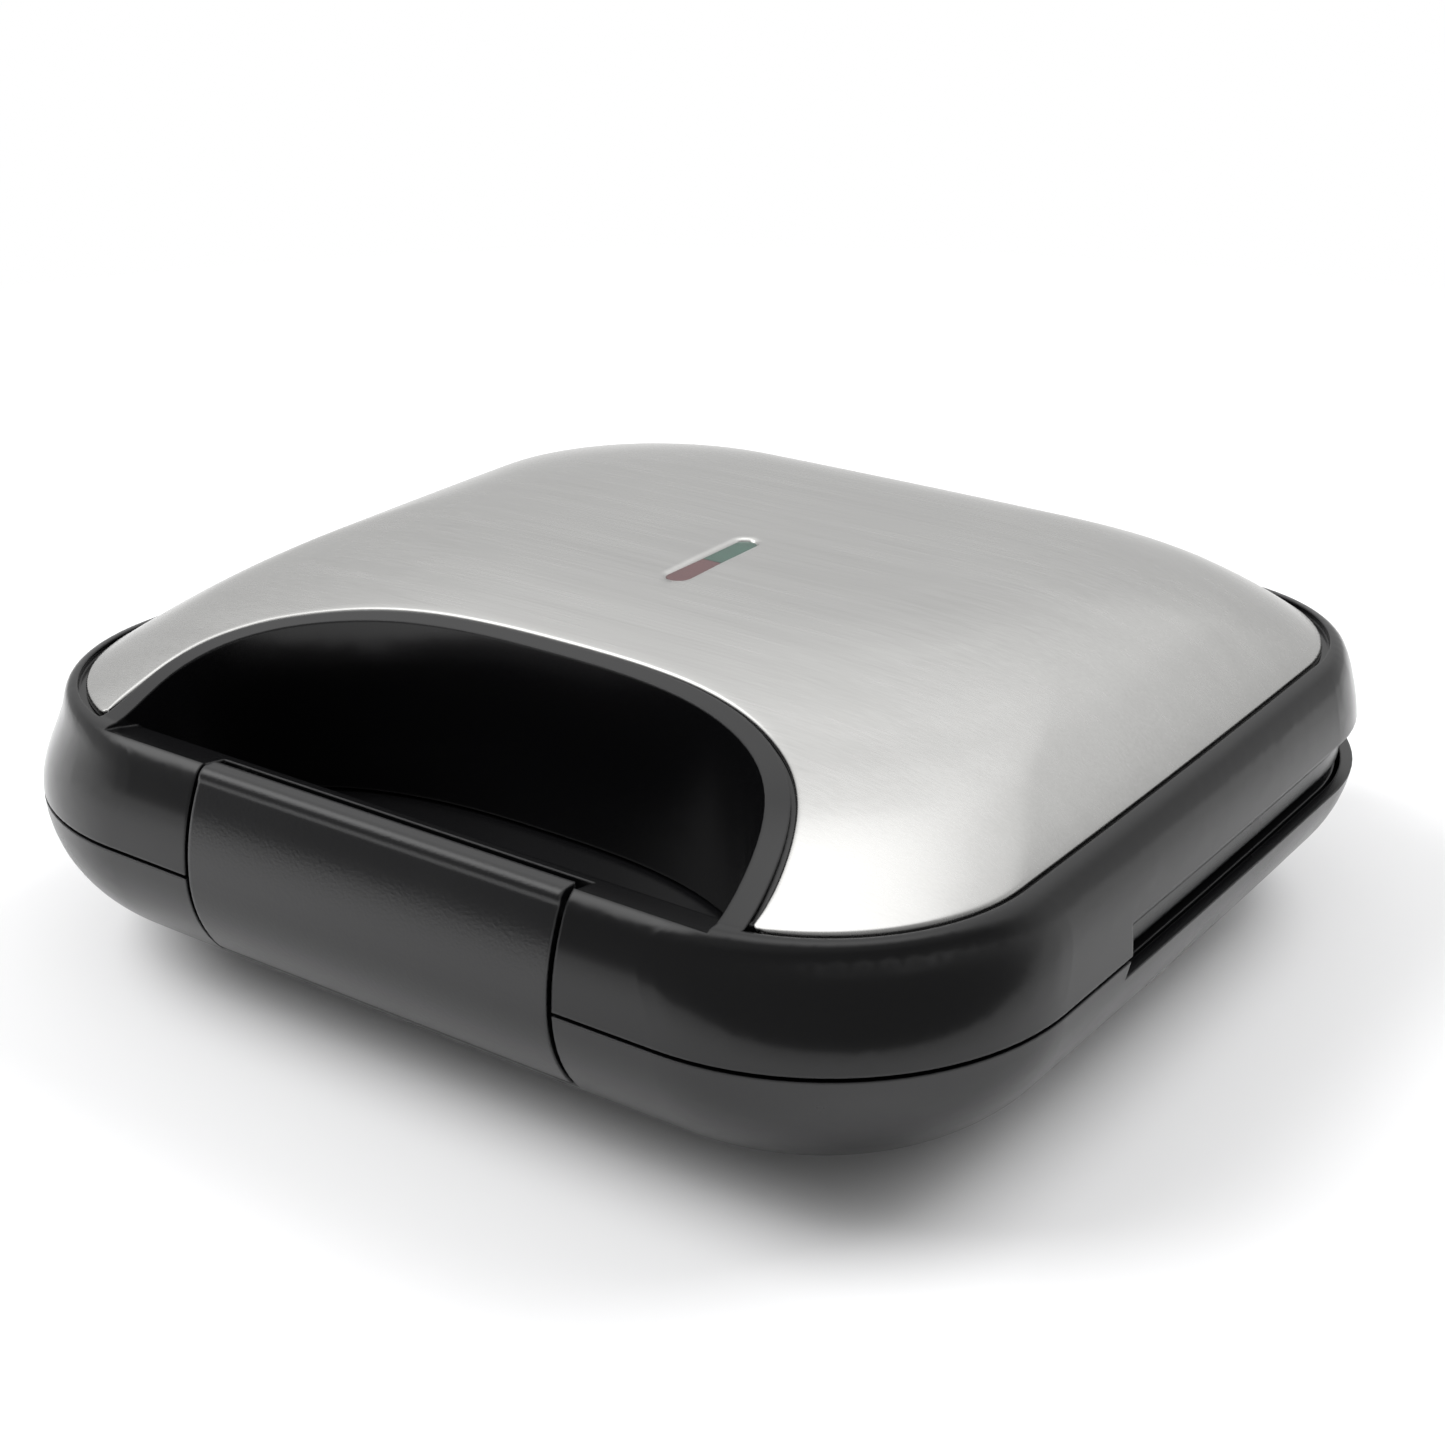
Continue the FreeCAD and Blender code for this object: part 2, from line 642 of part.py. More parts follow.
# ---- latch -------------------------------------------------------------------------------------------
def latch():
    """C-shaped grip over the bar, with ears for its pivot pins and a lip under the base."""
    x1 = latch_width / 2
    low_y = on_round(base_round, latch_drop)
    turn_y = on_round(lid_round, band_shoulder)

    def face(x, skin):
        """Profile of the outside (skin 0) or of the hollow behind it."""
        start = at(x, turn_y + skin, band_shoulder - skin * 0.5)
        mid_up = at(x, on_round(lid_round, 10) + skin, 10)
        zero = at(x, skin, 0)
        mid_low = at(x, on_round(base_round, 10) + skin, -10)
        end = at(x, low_y + skin * 0.7, -latch_drop + skin * 0.7)
        return [Part.Arc(start, mid_up, zero).toShape(), Part.Arc(zero, mid_low, end).toShape()], start, end

    outside, top, low = face(-x1, 0)
    inside, top_in, low_in = face(-x1, latch_skin)
    ridge_mid = at(-x1, turn_y + 0.8, latch_rise - 0.7)
    flange_start = at(-x1, turn_y + 2.2, latch_rise)
    flange_top = at(-x1, latch_flange, latch_rise)
    flange_low = at(-x1, latch_flange, latch_rise - latch_skin)
    inner_ridge = at(-x1, turn_y + latch_skin + 1.2, latch_rise - latch_skin)
    lip_low = at(-x1, latch_lip, -latch_drop - 0.5)
    lip_high = at(-x1, latch_lip, -latch_drop + 1.4)
    edges = outside + [Part.makeLine(low, lip_low), Part.makeLine(lip_low, lip_high),
                       Part.makeLine(lip_high, low_in)] + list(reversed(inside))
    edges += [Part.makeLine(top_in, inner_ridge), Part.makeLine(inner_ridge, flange_low),
              Part.makeLine(flange_low, flange_top), Part.makeLine(flange_top, flange_start),
              Part.Arc(flange_start, ridge_mid, top).toShape()]
    shell = Part.Face(Part.Wire(Part.__sortEdges__(edges))).extrude(V(latch_width, 0, 0))
    ears = []
    for side in (-1, 1):
        x0 = side * x1 - (latch_ear if side > 0 else 0)
        web = yz_prism([(turn_y - 1.0 + 0.6, 16.5), (latch_pivot_y, latch_pivot_h + latch_ear_r),
                        (latch_pivot_y, latch_pivot_h - latch_ear_r), (2.6, 9.5)], x0, x0 + latch_ear)
        ears += [web, rod(at(x0, latch_pivot_y, latch_pivot_h),
                          at(x0 + latch_ear, latch_pivot_y, latch_pivot_h), latch_ear_r)]
    grip = joined([shell] + ears)
    return grip.cut(rod(at(-half, latch_pivot_y, latch_pivot_h), at(half, latch_pivot_y, latch_pivot_h),
                        latch_pin_r + pin_slip))


def latch_pins():
    """Two short steel pins, held in the bar and running in the latch's ears."""
    inner = latch_width / 2 - latch_ear - 0.5
    outer = latch_width / 2 + latch_gap + latch_pin_grip - 0.2
    pin = rod(at(inner, latch_pivot_y, latch_pivot_h), at(outer, latch_pivot_y, latch_pivot_h), latch_pin_r)
    return Part.Compound([pin, mirrored(pin)])


# ---- indicator ---------------------------------------------------------------------------------------
holder_spots = [(0, lamp_front - 8), (0, lamp_rear + 8)]


def lens(y0, y1):
    """Half of the stadium-shaped window, resting on the ledge in the moulding."""
    slot = stadium(lens_low, 0, lamp_front + lens_slip, lamp_rear - lens_slip, lamp_width - 2 * lens_slip)
    return solid_of(slot, lens_low, lens_top).common(box(-10, 10, y0, y1, lens_low - 1, lens_top + 1))


def lamp_holder():
    """Open box with screw tabs that carries the two lamps under the window."""
    top = crown_rise - lid_roof - 0.3
    low = holder_level - holder_tab
    tab = box(-4, 4, lamp_front - 12, lamp_rear + 12, low, holder_level)
    tower = solid_of(stadium(low, 0, lamp_front, lamp_rear, lamp_width + 2.4), low, top)
    hollow = solid_of(stadium(holder_level, 0, lamp_front + 1.2, lamp_rear - 1.2, lamp_width),
                      holder_level, top + 1)
    holder = joined([tab, tower]).cut(hollow)
    for x, y in holder_spots:
        holder = holder.cut(post(x, y, low - 1, low + 3, screw_r + screw_slip))
    return holder


def lamps():
    """Two small neon lamps standing in the holder, one under each lens."""
    low = holder_level + 0.05
    mid = (lamp_front + lamp_rear) / 2
    glass = [joined([post(0, y, low, low + 10, 1.5), Part.makeSphere(1.5, at(0, y, low + 10))])
             for y in (mid - 6, mid + 6)]
    return Part.Compound(glass)


def holder_screws():
    low = holder_level - holder_tab - screw_head
    return Part.Compound([screw(x, y, low, holder_level + 6) for x, y in holder_spots])


# ---- lower housing -----------------------------------------------------------------------------------
block_y = rear - block_behind
clamp_y = rear - clamp_behind


def hinge_ears(x):
    """Base half of one hinge: two ears from the rear wall up to the axis."""
    ears = []
    for side in (-1, 1):
        near = x + side * (knuckle_width / 2 + ear_gap)
        x0, x1 = sorted((near, near + side * ear_width))
        plate = yz_prism([(rear - 2.2, -vent_base_edge - 0.6), (rear - 2.2, -9.0), (rear - 5.5, -14.0),
                          (rear - 2.0, -15.0), (hinge_y + barrel_r * 0.7, hinge_h - barrel_r * 0.7),
                          (hinge_y - barrel_r * 0.7, hinge_h + barrel_r * 0.7)], x0, x1)
        ears += [plate, rod(at(x0, hinge_y, hinge_h), at(x1, hinge_y, hinge_h), barrel_r)]
    return ears


def base_vent_cut():
    """The base's edge is lowered behind the slanted step."""
    y0 = vent_start - 1.8
    return yz_prism([(y0, -vent_base_edge), (y0 + vent_slant, 2), (rear + 9, 2), (rear + 9, -vent_base_edge)],
                    -half - 5, half + 5)


def foot_spots():
    for x in (-foot_x, foot_x):
        for y in (foot_front, rear - foot_rear):
            yield x, y


def lower_housing():
    form = base_form()
    shell = form.cut(base_hollow())
    x1 = latch_width / 2 + latch_gap
    inner_wall = box(-x1 - wall, x1 + wall, 3, base_pocket + wall, -base_drop, -parting_gap).common(form)
    pad = rod(at(gland_x, rear - gland_pad, gland_h), at(gland_x, rear - 0.5, gland_h), gland_pad_r)
    blocks = [post(x, y, -base_drop, plate_level(-1, flange_thick + bezel_thick), post_r).common(form)
              for x, y in screw_spots]
    blocks.append(box(block_x - block_half, block_x + block_half, block_y - block_depth / 2 - 0.5,
                      block_y + block_depth / 2 + 0.5, -base_drop, block_low).common(form))
    for s in (-1, 1):
        x = gland_x + s * clamp_screw
        blocks.append(box(x - 3.5, x + 3.5, clamp_y - clamp_depth / 2 - 0.5, clamp_y + clamp_depth / 2 + 0.5,
                          -base_drop, gland_h).common(form))
    body = joined([shell, inner_wall, pad] + blocks)
    body = body.cut(box(-x1, x1, -4, base_pocket, -base_drop, 2)).cut(base_vent_cut())
    body = joined([body] + hinge_ears(hinge_x) + hinge_ears(-hinge_x))
    body = body.cut(rod(at(-half, hinge_y, hinge_h), at(half, hinge_y, hinge_h), hinge_pin_r + pin_seat))
    body = body.cut(rod(at(gland_x, rear - 20, gland_h), at(gland_x, rear + 2, gland_h), gland_body_r + 0.05))
    for x, y in screw_spots:
        body = body.cut(post(x, y, 0, plate_level(-1, flange_thick + bezel_thick + 7), screw_r))
    for x, y in foot_spots():
        body = body.cut(post(x, y, -base_drop - 1, -base_drop + foot_stud + 0.1, foot_stud_r + 0.05))
    for s in (-1, 1):
        body = body.cut(post(block_x + s * block_screw, block_y, -base_drop + 1.2, block_low + 1, screw_r))
        body = body.cut(post(gland_x + s * clamp_screw, clamp_y, gland_h - 6, gland_h + 1, screw_r))
    return body


def lower_bezel():
    """Inner frame of the base: raised deck in front, lowered seat round the plate."""
    h0, h1 = plate_level(-1, flange_thick + bezel_thick), plate_level(-1, flange_thick)
    inset = wall + on_round(base_round - wall, -h0) + bezel_gap
    seat = solid_of(even(h0, inset), h0, h1).common(box(-half, half, deck_end - wall, rear, h0, h1))
    deck_low = -parting_gap - bezel_thick
    deck = solid_of(even(deck_low, inset), deck_low, -parting_gap)
    deck = deck.common(box(-half, half, base_pocket + wall + 0.3, deck_end, deck_low, 0))
    step = box(-half + inset + 1, half - inset - 1, deck_end - wall, deck_end, h0, -parting_gap)
    step = step.common(solid_of(even(h0, inset), h0, 0))
    frame = joined([seat, deck, step]).cut(plate_slab(-1, rim_seat - 0.3, -2, 12))
    for x, y in screw_spots:
        frame = frame.cut(post(x, y, h0 - 1, h1 + 1, screw_r + screw_slip))
    return frame


# ---- hinge pins, feet, label -------------------------------------------------------------------------
def hinge_pin(x):
    reach = knuckle_width / 2 + ear_gap + ear_width
    shank = rod(at(x - reach, hinge_y, hinge_h), at(x + reach, hinge_y, hinge_h), hinge_pin_r)
    side = 1 if x > 0 else -1
    head = rod(at(x + side * reach, hinge_y, hinge_h), at(x + side * (reach + 1.2), hinge_y, hinge_h), 2.6)
    return joined([shank, head])


def foot(x, y):
    pad = post(x, y, -base_drop - foot_height, -base_drop, foot_r)
    edge = [e for e in pad.Edges if abs(e.BoundBox.ZMax) < 0.01 and abs(e.BoundBox.ZMin) < 0.01]
    pad = pad.makeFillet(1.2, edge)
    return joined([pad, post(x, y, -base_drop, -base_drop + foot_stud, foot_stud_r)])


def rating_label():
    """Blank label under the base."""
    y = body_depth / 2
    return box(-22, 22, y - 12, y + 12, -base_drop - 0.3, -base_drop)


# ---- electrics ---------------------------------------------------------------------------------------
def cord_gland():
    """Flanged bush that the supply cord comes in through."""
    y1 = rear - 0.5
    y0 = y1 + gland_flange - gland_length
    bush = joined([rod(at(gland_x, y1, gland_h), at(gland_x, y1 + gland_flange, gland_h), gland_flange_r),
                   rod(at(gland_x, y0, gland_h), at(gland_x, y1, gland_h), gland_body_r)])
    return bush.cut(rod(at(gland_x, rear - 30, gland_h), at(gland_x, rear + 10, gland_h), gland_bore_r))


def cord_clamp():
    """Saddle that grips the cord behind the gland."""
    bar = box(gland_x - clamp_half, gland_x + clamp_half, clamp_y - clamp_depth / 2,
              clamp_y + clamp_depth / 2, gland_h, gland_h + clamp_thick)
    cord_h = gland_h - clamp_thick / 2
    bar = bar.cut(rod(at(gland_x, clamp_y - 9, cord_h), at(gland_x, clamp_y + 9, cord_h), gland_bore_r))
    for s in (-1, 1):
        bar = bar.cut(post(gland_x + s * clamp_screw, clamp_y, gland_h - 1, gland_h + clamp_thick + 1,
                           screw_r + screw_slip))
    return bar


def cord_clamp_screws():
    head = gland_h + clamp_thick + screw_head
    return Part.Compound([screw(gland_x + s * clamp_screw, clamp_y, head, gland_h - 4) for s in (-1, 1)])


def terminal_block():
    """Ceramic block with four wire seats."""
    wire_h = block_low + block_high / 2
    block = box(block_x - block_half, block_x + block_half, block_y - block_depth / 2,
                block_y + block_depth / 2, block_low, block_low + block_high)
    for i in (-1.5, -0.5, 0.5, 1.5):
        x = block_x + i * block_pitch
        block = block.cut(rod(at(x, block_y - block_depth, wire_h), at(x, block_y + block_depth, wire_h),
                              wire_seat_r))
    for s in (-1, 1):
        block = block.cut(post(block_x + s * block_screw, block_y, block_low - 1, block_low + block_high + 1,
                               screw_r + screw_slip))
    return block


def terminal_screws():
    head = block_low + block_high + screw_head
    return Part.Compound([screw(block_x + s * block_screw, block_y, head, block_low - 1.5) for s in (-1, 1)])


def thermostat():
    """Bimetal thermostat on the back of the lower plate, with two tabs."""
    top, low = plate_level(-1, plate_back + contact_air), plate_level(-1, tray_level + 3)
    cap = low - sensor_cap
    can = joined([post(0, plate_mid, top, low, sensor_r), post(0, plate_mid, low, cap, sensor_r - 2)])
    tabs = [box(s * 3.5 - sheet / 2, s * 3.5 + sheet / 2, plate_mid - 2, plate_mid + 2,
                -base_drop + wall + sensor_clear, cap + 0.2) for s in (-1, 1)]
    return joined([can] + tabs)


def fuse_body(way):
    """Thermal fuse in its sleeve, lying on the back of the reflector."""
    h = plate_level(way, tray_level + sheet + fuse_r + contact_air)
    y0 = plate_rear - 3 * fuse_length
    tube = rod(at(fuse_x, y0, h), at(fuse_x, y0 + fuse_length, h), fuse_r)
    ends = rod(at(fuse_x, y0 - 5, h), at(fuse_x, y0 + fuse_length + 5, h), 0.7)
    return joined([tube, ends])


def element_tail(way, side):
    h = plate_level(way, element_level)
    return at(side * (element_end - 4), plate_rear - element_inset, h)


def lower_leads():
    """Wires from the element's cold ends to the terminal block."""
    leads = []
    for side, slot in ((-1, -1.5), (1, -0.5)):
        start = element_tail(-1, side) + V(0, lead_r + 1.5, 0)
        tail, x = side * (element_end - 4), block_x + slot * block_pitch
        y = plate_rear - tray_inset + 2
        wire_h = block_low + block_high / 2
        end = at(x, block_y + block_depth / 2 + 0.1, wire_h)
        leads.append(wire_run([start, at(tail, y, start.z - parting_z), at(tail, y, wire_h + 2),
                               at(x, y - 3.5, wire_h), end], lead_r))
    return leads


def upper_leads():
    """Wires from the element's cold ends forward over the reflector to the lamp holder."""
    leads = []
    over = plate_level(1, tray_level + sheet + 6)
    for side in (-1, 1):
        start = element_tail(1, side) + V(0, lead_r + 1.5, 0)
        x = side * (element_end - 4)
        y = plate_rear - tray_inset - 4
        leads.append(wire_run([start, at(x, y, start.z - parting_z), at(x, y, over),
                               at(x, lamp_rear + 2, over)], lead_r))
    return leads


# ---- build all pieces --------------------------------------------------------------------------------
save("upper_housing", upper_housing())
save("steel_cover", steel_cover())
save("upper_bezel", upper_bezel())
save("latch", latch())
save("latch_pins", latch_pins())
lamp_mid = (lamp_front + lamp_rear) / 2
save("indicator_lens_red", lens(lamp_front, lamp_mid - 0.05))
save("indicator_lens_green", lens(lamp_mid + 0.05, lamp_rear))
save("lamp_holder", lamp_holder())
save("lamp_holder_screws", holder_screws())
save("indicator_lamps", lamps())
save("lower_housing", lower_housing())
save("lower_bezel", lower_bezel())
for name, way in (("upper", 1), ("lower", -1)):
    save(name + "_grill_plate", grill_plate(way))
    save(name + "_plate_screws", plate_screws(way))
    save(name + "_reflector", reflector(way))
    save(name + "_reflector_screws", reflector_screws(way))
    save(name + "_heating_element", heating_element(way))
    save(name + "_thermal_fuse", fuse_body(way))
for side, x in (("left", -hinge_x), ("right", hinge_x)):
    save("hinge_pin_" + side, hinge_pin(x))
for x, y in foot_spots():
    place = ("front" if y < rear / 2 else "rear") + ("_left" if x < 0 else "_right")
    save("foot_" + place, foot(x, y))
save("thermostat", thermostat())
save("terminal_block", terminal_block())
save("terminal_screws", terminal_screws())
save("cord_gland", cord_gland())
save("cord_clamp", cord_clamp())
save("cord_clamp_screws", cord_clamp_screws())
save("lower_leads", Part.Compound(lower_leads()))
save("upper_leads", Part.Compound(upper_leads()))
save("rating_label", rating_label())
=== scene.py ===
"""Panini press, closed on its latch: black moulded halves, brushed steel lid cover, ribbed plates.

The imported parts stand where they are.  Parts whose form is right only get their finish here; the steel
cover is pressed again from a finer surface.  Metres, +Z up, the handle towards -Y.
"""
import bpy
import bmesh
import math
import numpy as np
from mathutils import Matrix, Vector


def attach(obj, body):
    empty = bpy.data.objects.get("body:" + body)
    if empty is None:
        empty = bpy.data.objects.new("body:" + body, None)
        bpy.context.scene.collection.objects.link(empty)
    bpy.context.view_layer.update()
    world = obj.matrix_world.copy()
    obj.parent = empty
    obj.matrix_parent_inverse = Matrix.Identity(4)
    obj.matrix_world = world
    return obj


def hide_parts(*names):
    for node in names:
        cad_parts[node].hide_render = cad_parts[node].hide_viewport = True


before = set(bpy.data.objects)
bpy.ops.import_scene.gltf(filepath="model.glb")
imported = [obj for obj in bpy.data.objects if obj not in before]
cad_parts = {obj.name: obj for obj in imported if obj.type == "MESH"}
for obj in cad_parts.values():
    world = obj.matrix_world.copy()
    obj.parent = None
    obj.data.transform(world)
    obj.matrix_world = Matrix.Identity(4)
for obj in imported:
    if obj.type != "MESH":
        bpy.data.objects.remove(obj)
bpy.context.view_layer.update()


# ---- rubber feet ---------------------------------------------------------------------------------
# Four round pads of black rubber, pushed into the underside of the base.
# They are matt, slightly dusty, and take up grey from the table where they touch it.
def effect(name, inputs, outputs):
    """Empty shader node group with named number inputs and outputs."""
    tree = bpy.data.node_groups.new(name, "ShaderNodeTree")
    for label, default in inputs:
        socket = tree.interface.new_socket(label, in_out="INPUT", socket_type="NodeSocketFloat")
        socket.default_value = default
    for label, kind in outputs:
        tree.interface.new_socket(label, in_out="OUTPUT", socket_type="NodeSocket" + kind)
    return tree, tree.nodes.new("NodeGroupInput"), tree.nodes.new("NodeGroupOutput")


def add(tree, kind, links=(), **settings):
    """One shader node; links are (input, socket or number) pairs."""
    node = tree.nodes.new("ShaderNode" + kind)
    for key, value in settings.items():
        setattr(node, key, value)
    for target, value in links:
        if isinstance(value, bpy.types.NodeSocket):
            tree.links.new(value, node.inputs[target])
        else:
            node.inputs[target].default_value = value
    return node


def calc(tree, operation, a, b):
    return add(tree, "Math", [(0, a), (1, b)], operation=operation).outputs[0]


def spread(tree, value, low, high, to_low, to_high):
    """Value remapped and held between two limits."""
    names = ("Value", "From Min", "From Max", "To Min", "To Max")
    limits = zip(names, (value, low, high, to_low, to_high))
    return add(tree, "MapRange", limits, clamp=True).outputs["Result"]


def make_edges():
    """Rounded edges in the shading, and a mask of the edges that hands and cloths rub."""
    tree, given, made = effect("rounded edges", [("Radius", 0.0006)],
                               [("Normal", "Vector"), ("Edge", "Float")])
    soft = add(tree, "Bevel", [("Radius", given.outputs["Radius"])], samples=6)
    flat = add(tree, "NewGeometry")
    dot = add(tree, "VectorMath", [(0, soft.outputs[0]), (1, flat.outputs["Normal"])],
              operation="DOT_PRODUCT").outputs["Value"]
    edge = spread(tree, dot, 0.995, 0.85, 0.0, 1.0)
    tree.links.new(soft.outputs[0], made.inputs["Normal"])
    tree.links.new(edge, made.inputs["Edge"])
    return tree


def make_grain():
    """Fine tool-texture of a moulding: a height, and a slow mottling of its gloss."""
    tree, given, made = effect("moulding grain", [("Fine", 1800.0), ("Slow", 28.0)],
                               [("Height", "Float"), ("Mottle", "Float")])
    place = add(tree, "TexCoord").outputs["Object"]
    fine = add(tree, "TexNoise", [("Vector", place), ("Scale", given.outputs["Fine"]), ("Detail", 2.0)])
    slow = add(tree, "TexNoise", [("Vector", place), ("Scale", given.outputs["Slow"]), ("Detail", 4.0)])
    tree.links.new(fine.outputs[0], made.inputs["Height"])
    tree.links.new(slow.outputs[0], made.inputs["Mottle"])
    return tree


edges, grain = make_edges(), make_grain()


def finish(name, **values):
    """Material with a Principled shader; values are its constant sockets, with _ for a space."""
    material = bpy.data.materials.new(name)
    material.use_nodes = True
    shader = material.node_tree.nodes["Principled BSDF"]
    for key, value in values.items():
        socket = shader.inputs[key.replace("_", " ")]
        socket.default_value = (*value, 1.0) if isinstance(value, tuple) else value
    return material, material.node_tree, shader


def mixed(tree, factor, colour_a, colour_b):
    """Colour between two colours, each a socket or three numbers."""
    a, b = [(*colour, 1.0) if isinstance(colour, tuple) else colour for colour in (colour_a, colour_b)]
    return add(tree, "Mix", [("Factor", factor), ("A", a), ("B", b)], data_type="RGBA").outputs["Result"]


def place_group(tree, group, **values):
    node = tree.nodes.new("ShaderNodeGroup")
    node.node_tree = group
    for key, value in values.items():
        node.inputs[key].default_value = value
    return node


def moulded(name, colour, rough, spread_of_rough, bump, fine=1800.0, slow=28.0, radius=0.0006,
            rubbed=(0.05, 0.05, 0.052), **more):
    """Moulded plastic or rubber: mottled gloss, fine grain, rounded and slightly rubbed edges."""
    material, tree, shader = finish(name, **more)
    edge = place_group(tree, edges, Radius=radius)
    skin = place_group(tree, grain, Fine=fine, Slow=slow)
    tone = mixed(tree, calc(tree, "MULTIPLY", edge.outputs["Edge"], 0.5), colour, rubbed)
    dull = spread(tree, skin.outputs["Mottle"], 0.3, 0.7, rough, rough + spread_of_rough)
    tree.links.new(tone, shader.inputs["Base Color"])
    tree.links.new(dull, shader.inputs["Roughness"])
    relief = add(tree, "Bump", [("Height", skin.outputs["Height"]), ("Normal", edge.outputs["Normal"]),
                                ("Strength", 1.0), ("Distance", bump)])
    tree.links.new(relief.outputs[0], shader.inputs["Normal"])
    return material


def dress(material, *names):
    """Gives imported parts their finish."""
    for name in names:
        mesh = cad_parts[name].data
        mesh.materials.clear()
        mesh.materials.append(material)


foot_rubber = moulded("foot rubber", (0.02, 0.02, 0.021), 0.62, 0.15, 0.00004, fine=900.0,
                      rubbed=(0.10, 0.10, 0.10))
dress(foot_rubber, "foot_front_left", "foot_front_right", "foot_rear_left", "foot_rear_right")


# ---- base moulding and inner frames --------------------------------------------------------------
# Satin black moulded plastic; the base carries the feet and hinge ears, and each half has an inner
# frame round its plate, held by the plate screws.
satin_black = moulded("satin black moulding", (0.005, 0.005, 0.0055), 0.22, 0.06, 0.000012, fine=2600.0,
                      IOR=1.55)
dress(satin_black, "lower_housing", "upper_bezel", "lower_bezel")


# ---- cord bush, clamp and terminals --------------------------------------------------------------
# A rubber bush in the rear wall, a saddle clamp behind it and a ceramic block that takes the wires;
# clamp, block and the holder of the lamps are pale heat proof mouldings, each held by two screws.
bush_rubber = moulded("bush rubber", (0.022, 0.022, 0.022), 0.55, 0.12, 0.00003, fine=1200.0)
off_white = moulded("heat proof moulding", (0.62, 0.60, 0.54), 0.45, 0.12, 0.00002, fine=900.0,
                    rubbed=(0.72, 0.70, 0.64))
dress(bush_rubber, "cord_gland")
dress(off_white, "cord_clamp", "terminal_block", "lamp_holder")


# ---- ribbed plates -------------------------------------------------------------------------------
# Cast aluminium plates with a sprayed dark non-stick coating, ribbed where they press the bread.
# The coat has a fine speckle and an orange-peel skin, and is rubbed on the rib tops.
def speckled(name, base, fleck, rough):
    """Sprayed coating: fine flecks, an orange-peel skin and rubbed edges."""
    material, tree, shader = finish(name, Metallic=0.0)
    edge = place_group(tree, edges, Radius=0.0008)
    skin = place_group(tree, grain, Fine=700.0, Slow=40.0)
    place = add(tree, "TexCoord").outputs["Object"]
    dots = add(tree, "TexVoronoi", [("Vector", place), ("Scale", 900.0)])
    fleck_mask = spread(tree, dots.outputs["Distance"], 0.16, 0.10, 0.0, 1.0)
    tone = mixed(tree, fleck_mask, base, fleck)
    rubbed = mixed(tree, calc(tree, "MULTIPLY", edge.outputs["Edge"], 0.35), tone, (0.14, 0.13, 0.125))
    tree.links.new(rubbed, shader.inputs["Base Color"])
    tree.links.new(spread(tree, skin.outputs["Mottle"], 0.3, 0.7, rough, rough + 0.14),
                   shader.inputs["Roughness"])
    relief = add(tree, "Bump", [("Height", skin.outputs["Height"]), ("Normal", edge.outputs["Normal"]),
                                ("Distance", 0.00006)])
    tree.links.new(relief.outputs[0], shader.inputs["Normal"])
    return material


plate_coat = speckled("non-stick coat", (0.022, 0.021, 0.022), (0.10, 0.10, 0.10), 0.36)
dress(plate_coat, "upper_grill_plate", "lower_grill_plate")


# ---- heating parts -------------------------------------------------------------------------------
# Steel tube elements, bright reflector trays, fuse sleeves and silicone wires, hidden between plate
# and moulding; turned and stamped metal parts and the screws share one brushed look.
def make_brushing():
    """Long scratches that run from side to side: a streak tone and a height."""
    tree, given, made = effect("brushing", [("Along", 14.0), ("Across", 2400.0)],
                               [("Streak", "Float"), ("Height", "Float"), ("Cloud", "Float")])
    place = add(tree, "TexCoord").outputs["Object"]
    parts = add(tree, "SeparateXYZ", [(0, place)])
    along = calc(tree, "MULTIPLY", parts.outputs[0], given.outputs["Along"])
    across = [calc(tree, "MULTIPLY", parts.outputs[i], given.outputs["Across"]) for i in (1, 2)]
    stretched = add(tree, "CombineXYZ", [(0, along), (1, across[0]), (2, across[1])])
    fine = add(tree, "TexNoise", [("Vector", stretched.outputs[0]), ("Scale", 1.0), ("Detail", 3.0)])
    broad_along = calc(tree, "MULTIPLY", along, 0.5)
    broad_across = [calc(tree, "MULTIPLY", value, 0.08) for value in across]
    broad_place = add(tree, "CombineXYZ",
                      [(0, broad_along), (1, broad_across[0]), (2, broad_across[1])])
    broad = add(tree, "TexNoise", [("Vector", broad_place.outputs[0]), ("Scale", 1.0), ("Detail", 2.0)])
    cloud = add(tree, "TexNoise", [("Vector", place), ("Scale", 22.0), ("Detail", 3.0)])
    both = calc(tree, "ADD", calc(tree, "MULTIPLY", fine.outputs[0], 0.65),
                calc(tree, "MULTIPLY", broad.outputs[0], 0.35))
    for label, value in (("Streak", both), ("Height", fine.outputs[0]), ("Cloud", cloud.outputs[0])):
        tree.links.new(value, made.inputs[label])
    return tree


brushing = make_brushing()


def brushed(name, dark, light, rough, bump, along=14.0, across=2400.0, radius=0.0004, **more):
    """Brushed metal: streaks in tone, gloss and height over slow clouding."""
    material, tree, shader = finish(name, Metallic=1.0, **more)
    marks = place_group(tree, brushing, Along=along, Across=across)
    edge = place_group(tree, edges, Radius=radius)
    streak = marks.outputs["Streak"]
    tree.links.new(mixed(tree, spread(tree, streak, 0.3, 0.7, 0.0, 1.0), dark, light),
                   shader.inputs["Base Color"])
    dull = calc(tree, "ADD", spread(tree, streak, 0.3, 0.7, rough - 0.03, rough + 0.03),
                spread(tree, marks.outputs["Cloud"], 0.35, 0.65, -0.015, 0.015))
    tree.links.new(dull, shader.inputs["Roughness"])
    relief = add(tree, "Bump", [("Height", marks.outputs["Height"]), ("Normal", edge.outputs["Normal"]),
                                ("Distance", bump)])
    tree.links.new(relief.outputs[0], shader.inputs["Normal"])
    return material


